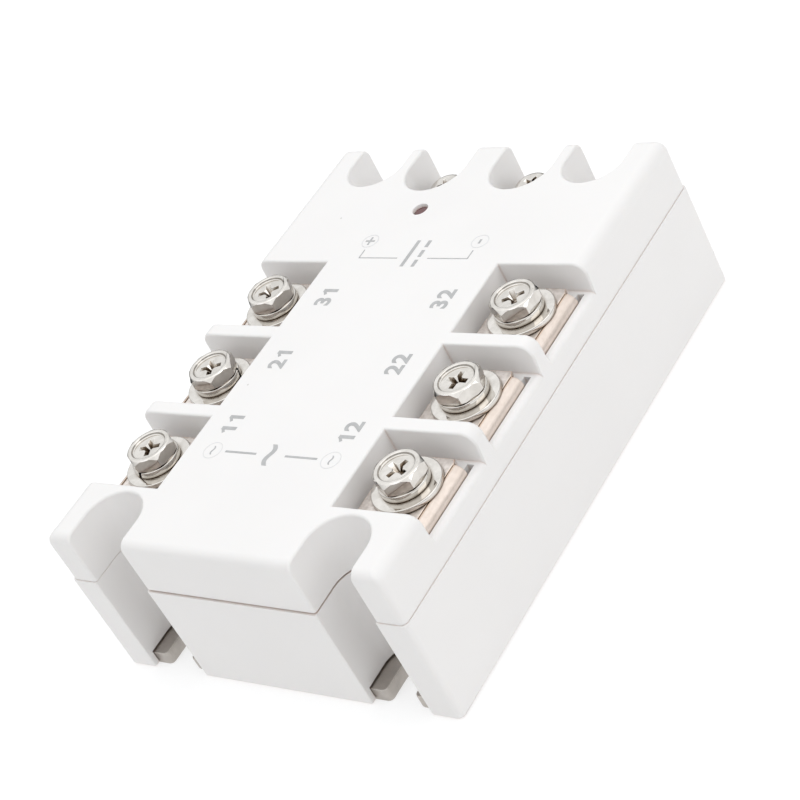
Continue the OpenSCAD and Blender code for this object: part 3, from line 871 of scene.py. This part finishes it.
# %% A threaded shank
def threaded(name, major, pitch, z0, z1, steps=36):
    """A shank with a helical thread between two heights, closed at both ends."""
    depth = 0.6 * pitch
    turns = int((z1 - z0) / pitch)
    shank = begin(name, bpy.ops.mesh.primitive_plane_add, size=pitch)
    pick(shank, "VERT", lambda v: v.co.x > 0)
    bpy.ops.mesh.delete(type="VERT")
    done()
    pick(shank, "EDGE", lambda e: True)
    bpy.ops.mesh.subdivide(number_cuts=1)
    done()
    pick(shank, "VERT", lambda v: abs(v.co.y) < 0.01)
    bpy.ops.transform.translate(value=(-depth, 0, 0))
    done()
    pick(shank, "VERT", lambda v: True)
    rotate(math.pi / 2, "X")
    bpy.ops.transform.translate(value=(-(major - depth) + pitch / 2, 0, 0))
    done()
    twist = shank.modifiers.new("thread", "SCREW")
    twist.screw_offset = pitch
    twist.iterations = turns
    twist.steps = twist.render_steps = steps
    twist.use_merge_vertices = True
    twist.merge_threshold = 0.001
    only(shank)
    bpy.ops.object.modifier_apply(modifier="thread")
    pick(shank, "VERT", lambda v: True)
    bpy.ops.mesh.remove_doubles(threshold=0.001)
    bpy.ops.mesh.select_all(action="DESELECT")
    bpy.ops.mesh.select_mode(type="EDGE")
    bpy.ops.mesh.select_non_manifold()
    bpy.ops.mesh.fill()
    bpy.ops.mesh.select_all(action="SELECT")
    bpy.ops.mesh.normals_make_consistent(inside=False)
    low = min(v.co.z for v in bmesh.from_edit_mesh(shank.data).verts)
    bpy.ops.transform.translate(value=(0, 0, z0 - low))
    done()
    return shank


# %% [markdown]
# ### The cross recess
# A punch with four tapering wings makes the recess. Two crossed blocks, narrowed at
# their lower faces, and a cone between them make the same shape as a cutter.

# %% A cross recess
def cross_tool(span, width, depth, z):
    """A cutter with four wings that taper inwards, and a cone between them."""
    wings = []
    for turn in (0, math.pi / 2):
        wing = begin("wing", bpy.ops.mesh.primitive_cube_add, size=1,
                     location=(0, 0, z - depth / 2 + 0.25), scale=(span, width, depth + 0.5),
                     rotation=(0, 0, turn))
        pick(wing, "FACE", lambda f: f.normal.z < -0.9)
        bpy.ops.transform.resize(value=(0.4, 0.35, 1) if turn == 0 else (0.35, 0.4, 1))
        done()
        wings.append(wing)
    core = begin("core", bpy.ops.mesh.primitive_cone_add, vertices=8, radius1=0.2,
                 radius2=width * 1.15, depth=depth + 0.7, rotation=(0, 0, math.pi / 8),
                 location=(0, 0, z - depth / 2 + 0.2))
    return add(wings[0], wings[1], core)


# %% [markdown]
# ### The head
# Crossing the hexagon with one cone from above and one from below leaves a curved
# chamfer at each corner, as turning does. The dish is a bar with a rounded foot, cut
# out of the top; the bevel on its rim comes last.

# %% One load screw
head_low, head_top = node_box("power_spring_washer_2")[1].z, node_box("power_screw_2")[1].z
head_af = 8.0
head = bar("head", head_af / math.sqrt(3), head_low, head_top, sides=6, turn=math.pi / 6)
soften(head, 0.22, lambda p: head_low + 0.5 < p.z < head_top - 0.5)


def chamfer_cone(face_radius, face_z, way, slope):
    """A cone that clips the head's corners, widening away from one of its faces."""
    near, far = face_radius - 1 / slope, face_radius + 3.6 / slope
    radii = (far, near) if way > 0 else (near, far)
    return begin("cone", bpy.ops.mesh.primitive_cone_add, vertices=96, radius1=radii[0],
                 radius2=radii[1], depth=4.6, location=(0, 0, face_z - way * 1.3))


combine(head, "INTERSECT", chamfer_cone(3.96, head_top, 1, 1.25))
combine(head, "INTERSECT", chamfer_cone(4.0, head_low, -1, 0.8))
dish_r, dish_depth = 3.2, 0.5
dish = bar("dish", dish_r, head_top - dish_depth, head_top + 1, sides=96)
soften(dish, 0.25, lambda p: p.z < head_top, segments=3)
cut(head, dish)
soften(head, 0.22, lambda p: p.z > head_top - 0.01, segments=3)
cross = cross_tool(5.0, 1.2, 1.35, head_top - dish_depth)
thread_r, thread_pitch = 2.5, 0.8
shank_low = node_box("power_screw_2")[0].z
shank = threaded("shank", thread_r, thread_pitch, shank_low, head_low - 0.6)
add(head, bar("neck", 2.35, head_low - 1.5, head_low + 0.4, sides=36))
print("head:", len(head.data.polygons), "faces; shank:", len(shank.data.polygons))

# %% [markdown]
# ## Washers
# Under each head sit a split lock washer and a broad flat washer. The split washer is a
# square section spun almost all the way round, its start face leaning so that the cut
# slants. The flat washer is stamped, so its edges are slightly rolled.

# %% Split washer and flat washer
spring_low, spring_high = node_box("power_spring_washer_2")
flat_low, flat_high = node_box("power_flat_washer_2")
ring_in, ring_out, flat_out = 2.75, 4.4, 6.2
ring_middle = (spring_low.z + spring_high.z) / 2
lean, open_angle = 0.3, 9
lock = begin("lock", bpy.ops.mesh.primitive_plane_add, size=1)
pick(lock, "FACE", lambda f: True)
bpy.ops.transform.resize(value=(ring_out - ring_in, spring_high.z - spring_low.z, 1))
rotate(math.pi / 2, "X")
bpy.ops.transform.translate(value=((ring_in + ring_out) / 2, 0, ring_middle))
done()
for way in (-1, 1):
    pick(lock, "VERT", lambda v: (v.co.z - ring_middle) * way > 0)
    bpy.ops.transform.translate(value=(0, way * lean, 0))
    done()
pick(lock, "FACE", lambda f: True)
bpy.ops.mesh.spin(steps=80, angle=math.radians(360 - open_angle), center=(0, 0, 0),
                  axis=(0, 0, 1))
bpy.ops.mesh.select_all(action="SELECT")
bpy.ops.mesh.normals_make_consistent(inside=False)
done()
soften(lock, 0.16, sharp=50)

flat_washer = bar("flat", flat_out, flat_low.z, flat_high.z, sides=96)
cut(flat_washer, bar("hole", ring_in, flat_low.z - 1, flat_high.z + 1, sides=48))
soften(flat_washer, 0.2, sharp=50)
print("washers:", len(lock.data.polygons), len(flat_washer.data.polygons), "faces")

# %% [markdown]
# ### Six screws, each tightened to its own angle
# No two screws stop at the same angle, so the head, its recess and the split of its
# lock washer are turned one by one. The thread is joined to its head and not merged
# with it, since one solid inside the other needs no Boolean.

# %% Six screws with their washers
head_turn = {1: -34, 2: -30, 3: 5, 4: 0, 5: 12, 6: -30}
cross_turn = {1: 20, 2: 66, 3: 25, 4: -2, 5: 35, 6: 36}
lock_turn = {1: -105, 2: 118, 3: 21, 4: 150, 5: 135, 6: 100}
for n in range(1, 7):
    at = centre_of(f"power_screw_{n}")
    spot = (at.x, at.y, 0)
    screw = copy(head, f"screw_head_{n}", move=spot, turn=math.radians(head_turn[n]))
    cut(screw, copy(cross, "recess", move=spot, turn=math.radians(cross_turn[n])))
    soften(screw, 0.07, lambda p: (p.xy - at.xy).length < 2.6 and p.z > head_top - 0.52,
           segments=2, sharp=50)
    screw = joined(screw, copy(shank, f"thread_{n}", move=spot))
    screw.name = f"load_screw_{n}"
    settle(screw, nickel, f"load_screw_{n}", [f"power_screw_{n}"])
    lock_n = copy(lock, f"lock_washer_{n}", move=spot, turn=math.radians(lock_turn[n]))
    settle(lock_n, nickel, f"load_clamp_{n}", [f"power_spring_washer_{n}"])
    flat_n = copy(flat_washer, f"flat_washer_{n}", move=spot)
    settle(flat_n, nickel, f"load_clamp_{n}", [f"power_flat_washer_{n}"])
for piece in (head, cross, shank, lock, flat_washer):
    bpy.data.objects.remove(piece)

# %% [markdown]
# ## Control terminals
# Deep in their notches sit two smaller screws with pan heads, each on a square clamp
# washer. Only a crescent of each head shows from above. The strip under them is a
# plain tab and stays the CAD one.

# %% Pan-head screws and clamps
pan_low = node_box("input_clamp_2")[1].z
pan_top = node_box("input_screw_2")[1].z
pan_r, pan_thread_r, pan_pitch = 3.5, 2.0, 0.7
pan = bar("pan", pan_r, pan_low, pan_top, sides=72)
soften(pan, 1.1, lambda p: p.z > pan_top - 0.01, segments=6)
soften(pan, 0.2, lambda p: p.z < pan_low + 0.01, segments=2, sharp=60)
cut(pan, cross_tool(3.9, 0.85, 1.6, pan_top))
soften(pan, 0.06, lambda p: math.hypot(p.x, p.y) < 2.3 and p.z > pan_top - 0.05,
       segments=2, sharp=50)
pan_shank = threaded("pan_shank", pan_thread_r, pan_pitch, node_box("input_screw_2")[0].z,
                     pan_low - 0.5)
add(pan, bar("neck", 1.85, pan_low - 1.2, pan_low + 0.4, sides=36))

clamp_low, clamp_high = node_box("input_clamp_2")
half = (clamp_high.x - clamp_low.x) / 2
clamp = block("clamp", (-half, -half, clamp_low.z), (half, half, clamp_high.z))
cut(clamp, block("arch", (-half + 1, -9, clamp_low.z - 1), (half - 1, 9, clamp_low.z + 0.3)),
    bar("hole", 2.2, 0, FAR, sides=48))
soften(clamp, 0.18, segments=2, sharp=50)
for n in (1, 2):
    at = centre_of(f"input_screw_{n}")
    spot = (at.x, at.y, 0)
    screw = copy(pan, f"pan_{n}", move=spot, turn=math.radians(35 * n))
    screw = joined(screw, copy(pan_shank, f"pan_thread_{n}", move=spot))
    screw.name = f"control_screw_{n}"
    settle(screw, nickel, f"input_screw_{n}", [f"input_screw_{n}"])
    one = copy(clamp, f"clamp_washer_{n}", move=spot)
    settle(one, nickel, f"input_clamp_{n}", [f"input_clamp_{n}"])
for piece in (pan, pan_shank, clamp):
    bpy.data.objects.remove(piece)

# %% [markdown]
# ## Indicator lamp
# A dark red lens on two leads fills the small hole in the top face, just below the
# surface. The lens is a short rod with a rounded end and a collar that stops it.

# %% Indicator lamp
lens_low, lens_top, lead_low = ceiling - 4, top - 0.55, node_box("led_indicator")[0].z
lens = bar("indicator_lens", 1.48, lens_low, lens_top, at=(lamp.x, lamp.y), sides=48)
soften(lens, 0.45, lambda p: p.z > lens_top - 0.01, segments=4)
add(lens, bar("collar", 1.75, lens_low, lens_low + 0.8, at=(lamp.x, lamp.y), sides=48))
for x in (-0.635, 0.635):
    add(lens, bar("lead", 0.25, lead_low, lens_low + 0.3, at=(lamp.x + x, lamp.y),
                  sides=16))
settle(lens, lamp_red, stands_for=["led_indicator"])

# %% [markdown]
# ## Printed marks
# The top carries pad-printed marks in pale grey. They are kept to plain numbers for
# the terminals and plain signs for direct and alternating current. Each is a thin raised
# piece, since ink has a little thickness and a mesh survives any export.

# %% Helpers for print
ink = 0.04
ink_z = top - 0.01


def press(piece, name, x, y, turn=math.pi / 2):
    """Turns flat print to face up at (x, y) and gives it its thickness."""
    piece.name = piece.data.name = name
    pick(piece, "FACE", lambda f: True)
    rotate(turn)
    bpy.ops.transform.translate(value=(x, y, ink_z))
    bpy.ops.mesh.remove_doubles(threshold=0.001)
    bpy.ops.mesh.normals_make_consistent(inside=False)
    done()
    thick = piece.modifiers.new("ink", "SOLIDIFY")
    thick.thickness = ink
    thick.offset = 1
    only(piece)
    bpy.ops.object.modifier_apply(modifier="ink")
    pick(piece, "FACE", lambda f: True)
    bpy.ops.mesh.normals_make_consistent(inside=False)
    low = min(v.co.z for v in bmesh.from_edit_mesh(piece.data).verts)
    bpy.ops.transform.translate(value=(0, 0, ink_z - low))
    done()
    return piece


def glyph(name, words, height, x, y, bold=0.05):
    """Print of a few characters, centred on its place."""
    bpy.ops.object.select_all(action="DESELECT")
    bpy.ops.object.text_add()
    text = bpy.context.object
    text.data.body = words
    text.data.size = height / 0.7
    text.data.offset = bold
    text.data.align_x = "CENTER"
    text.data.resolution_u = 4
    bpy.ops.object.convert(target="MESH")
    text = bpy.context.object
    ys = [v.co.y for v in text.data.vertices]
    xs = [v.co.x for v in text.data.vertices]
    pick(text, "VERT", lambda v: True)
    bpy.ops.transform.translate(value=(-(min(xs) + max(xs)) / 2, -(min(ys) + max(ys)) / 2, 0))
    done()
    return press(text, name, x, y)


def stroke(name, start, end, width):
    """A straight printed line between two places."""
    start, end = Vector(start), Vector(end)
    run = end - start
    piece = begin(name, bpy.ops.mesh.primitive_plane_add, size=1)
    pick(piece, "FACE", lambda f: True)
    bpy.ops.transform.resize(value=(run.length, width, 1))
    done()
    return press(piece, name, *((start + end) / 2), turn=math.atan2(run.y, run.x))


def hoop(name, radius, width, x, y):
    """A printed circle."""
    piece = begin(name, bpy.ops.mesh.primitive_circle_add, vertices=64, radius=radius,
                  fill_type="NGON")
    pick(piece, "FACE", lambda f: True)
    bpy.ops.mesh.inset(thickness=width)
    bpy.ops.mesh.delete(type="FACE")
    done()
    return press(piece, name, x, y)


def figure_one(name, x, y, tall):
    """A bold figure one: an upright, and a flag that the font's own would lose."""
    head = x - tall / 2
    return add(stroke(name, (x + tall / 2, y + 0.25), (head, y + 0.25), 0.75),
               stroke("flag", (head + 0.28, y + 0.2), (head + 1.0, y - 0.8), 0.55))


# %% [markdown]
# ### Which marks go where
# Each load terminal gets the number of its phase and of its side, beside its pocket.
# The control end gets the sign for direct current between a plus and a minus, and the
# load end the sign for alternating current between two small ones.

# %% The marks
prints = []
mark_x, mark_tall, figure_gap = 13.1, 3.3, 2.7
first_mark_y, mark_pitch = -23.1, 16.2
out_y, in_y, sign_low = -29.5, 19.8, 17.6
for n in range(1, 7):
    side = 1 if n % 2 == 0 else -1
    row = (n - 1) // 2
    for part, way, figure in (("a", -1, row + 1), ("b", 1, 2 - n % 2)):
        name = f"mark_{n}_{part}"
        y = first_mark_y + mark_pitch * row + way * figure_gap / 2
        if figure == 1:
            prints.append(figure_one(name, side * mark_x, y, mark_tall))
        else:
            prints.append(glyph(name, str(figure), mark_tall, side * mark_x, y, bold=0.15))
for name, words, x, y in (("plus", "+", -12.5, 24.4), ("minus", "-", 12.4, 24.4)):
    prints.append(glyph(f"sign_{name}", words, 3.0, x, y, bold=0.03))
    prints.append(hoop(f"sign_{name}_ring", 1.75, 0.16, x, y))
for side in (-1, 1):
    prints.append(glyph(f"sign_ac_{side + 1}", "~", 2.6, side * mark_x, out_y, bold=0.0))
    prints.append(hoop(f"sign_ac_ring_{side + 1}", 1.9, 0.12, side * mark_x, out_y))
    for name, start, end, width in (
            ("out_line", (side * 3.2, out_y), (side * 10.2, out_y), 0.42),
            ("in_line", (side * 3.4, in_y), (side * 12.3, in_y), 0.22),
            ("in_tick", (side * 12.25, in_y), (side * 12.25, 22.0), 0.22)):
        prints.append(stroke(f"{name}_{side + 1}", start, end, width))
prints.append(glyph("sign_ac", "~", 6.0, -0.2, out_y, bold=0.12))
prints.append(stroke("sign_dc_bar", (-1.2, sign_low), (-1.2, sign_low + 7), 0.75))
for k in range(3):
    y = sign_low + 2.6 * k
    prints.append(stroke(f"sign_dc_dash_{k}", (1.3, y), (1.3, y + 1.8), 0.75))
for piece in prints:
    ink_tone = print_faint if "ring" in piece.name else print_grey
    settle(piece, ink_tone)
print("printed marks:", len(prints))

# %% [markdown]
# ## Parts that stay as the CAD made them
# Inside the housing the CAD shapes are right already, so they keep their meshes and
# only get their finishes.

# %% Finishes for the inner parts
inner = {
    "housing_screws": nickel, "power_nuts": nickel, "input_nuts": nickel,
    "gate_pins": nickel, "input_terminal_1": tinned_copper,
    "input_terminal_2": tinned_copper, "control_board": board_green,
    "optocouplers": chip_black, "board_resistors": resistor_tan,
    "board_capacitors": sleeve_blue, "board_transistors": chip_black,
    "ceramic_substrates": ceramic, "copper_tracks": bare_copper,
    "thyristor_chips": silicon, "chip_clips": bare_copper, "potting": gel,
}
for name, material in inner.items():
    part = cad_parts[name]
    part.data.materials.clear()
    part.data.materials.append(material)
print("inner parts:", len(inner))

# %% [markdown]
# ## Floor, light and camera
# A white object on white needs broad soft light from above and all round, and a pale
# floor that almost disappears. The floor glows a little, so that it stays as bright as
# the sky under a soft shadow. The sky gets a darker band low down, so that the screws
# have something to reflect.

# %% Floor
floor = begin("floor", bpy.ops.mesh.primitive_plane_add, size=3)
floor_paint = bpy.data.materials.new("floor_paint")
floor_paint.use_nodes = True
paint = floor_paint.node_tree.nodes["Principled BSDF"]
paint.inputs["Base Color"].default_value = (0.40, 0.40, 0.40, 1)
paint.inputs["Roughness"].default_value = 0.9
paint.inputs["Specular IOR Level"].default_value = 0.1
paint.inputs["Emission Color"].default_value = (1, 1, 1, 1)
paint.inputs["Emission Strength"].default_value = 0.62
floor.data.materials.append(floor_paint)

# %% Sky and lamps
world = bpy.data.worlds.new("studio")
bpy.context.scene.world = world
world.use_nodes = True
sky = world.node_tree
coords = node(sky, "ShaderNodeTexCoord")
axes = node(sky, "ShaderNodeSeparateXYZ")
sky.links.new(coords.outputs["Generated"], axes.inputs["Vector"])
ramp = node(sky, "ShaderNodeValToRGB")
ends = ramp.color_ramp.elements
ends[0].position, ends[0].color = 0.04, (0.02, 0.02, 0.02, 1)
ends[1].position, ends[1].color = 1.0, (0.985, 1.0, 1.012, 1)
for height, level in ((0.13, 0.10), (0.22, 0.42), (0.35, 0.70), (0.60, 0.92)):
    stop = ends.new(height)
    stop.color = (level * 0.985, level, level * 1.012, 1)
sky.links.new(axes.outputs["Z"], ramp.inputs["Fac"])
sky.links.new(ramp.outputs["Color"], sky.nodes["Background"].inputs["Color"])
sky.nodes["Background"].inputs["Strength"].default_value = 1.28


def softbox(name, place, aim, size, power):
    bpy.ops.object.light_add(type="AREA", location=place)
    lamp_object = bpy.context.object
    lamp_object.name = name
    lamp_object.data.size = size
    lamp_object.data.energy = power
    way = Vector(aim) - Vector(place)
    lamp_object.rotation_euler = way.to_track_quat("-Z", "Y").to_euler()


softbox("overhead", (-0.10, 0.10, 0.75), (0, 0, 0), 0.6, 0.3)
softbox("right_fill", (0.70, 0.12, 0.42), (0, 0, 0.01), 0.6, 0.9)

# %% [markdown]
# ### Camera
# A long lens from the front corner keeps the edges of the block almost parallel, and
# the camera is rolled so that the relay stands slantwise in the frame.

# %% Camera
camera_place = Vector((242.2, -208.2, 233.8)) * MM
camera_aim = Vector((0.23, 0.76, 16.47)) * MM
camera_roll = math.radians(-29.6)
lens_mm = 98.55
bpy.ops.object.camera_add(location=camera_place)
camera = bpy.context.object
camera.data.lens = lens_mm
camera.data.sensor_width = 36
camera.data.clip_start = 0.01
look = (camera_aim - camera_place).to_track_quat("-Z", "Y").to_matrix()
camera.rotation_euler = (look.to_4x4() @ Matrix.Rotation(
    camera_roll, 4, "Z")).to_euler()
bpy.context.scene.camera = camera
bpy.context.scene.view_settings.view_transform = "Standard"
